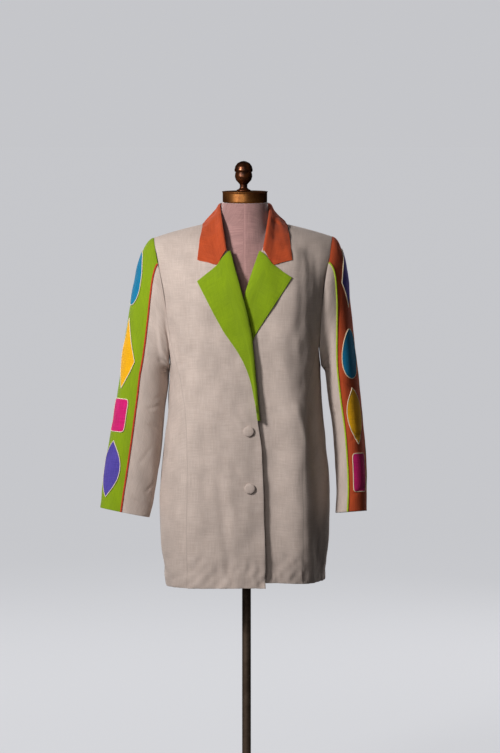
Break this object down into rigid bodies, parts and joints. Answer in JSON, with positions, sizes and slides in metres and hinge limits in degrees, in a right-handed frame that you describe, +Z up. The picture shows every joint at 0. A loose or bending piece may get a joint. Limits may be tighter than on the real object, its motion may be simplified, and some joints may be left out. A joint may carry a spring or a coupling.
{
  "type": "linen blazer on a limbless dress form",
  "caption": "Natural linen blazer with contrast collar, lapels and patched sleeve bands, worn by a limbless dress form on a pole stand.",
  "frame": {"origin": "on the floor under the pole, at the centre of the foot's underside", "axes": "+Z up along the pole, the blazer's front faces -Y, +X to the wearer's left"},
  "size_m": [0.6136, 0.41, 1.5442],
  "materials": {
    "linen": "matte",
    "orange_linen": "matte",
    "green_linen": "matte",
    "lime_piping": "satin",
    "red_piping": "satin",
    "yellow_cloth": "matte",
    "magenta_cloth": "matte",
    "purple_cloth": "matte",
    "teal_cloth": "matte",
    "form_cloth": "matte",
    "bronze": "satin",
    "pole_metal": "satin"
  },
  "bodies": {
    "root": {"front_right": "linen", "front_left": "linen", "side_front_right": "linen", "side_front_left": "linen", "back": "linen", "lapel_right": "green_linen", "lapel_left": "green_linen", "collar": "orange_linen", "sleeve_right": "linen", "sleeve_band_right": "green_linen", "piping_front_right": "red_piping", "piping_back_right": "red_piping", "patch_right_disc": "teal_cloth", "patch_right_lozenge": "yellow_cloth", "patch_right_block": "magenta_cloth", "patch_right_almond": "purple_cloth", "sleeve_left": "linen", "sleeve_band_left": "orange_linen", "piping_front_left": "lime_piping", "piping_back_left": "lime_piping", "patch_left_lozenge": "purple_cloth", "patch_left_disc": "teal_cloth", "patch_left_almond": "yellow_cloth", "patch_left_block": "magenta_cloth", "button_upper": "linen", "button_lower": "linen", "form_torso": "form_cloth", "neck_cap": "bronze", "finial": "bronze", "pole": "pole_metal", "pole_socket": "pole_metal", "foot": "pole_metal"}
  },
  "joints": []
}
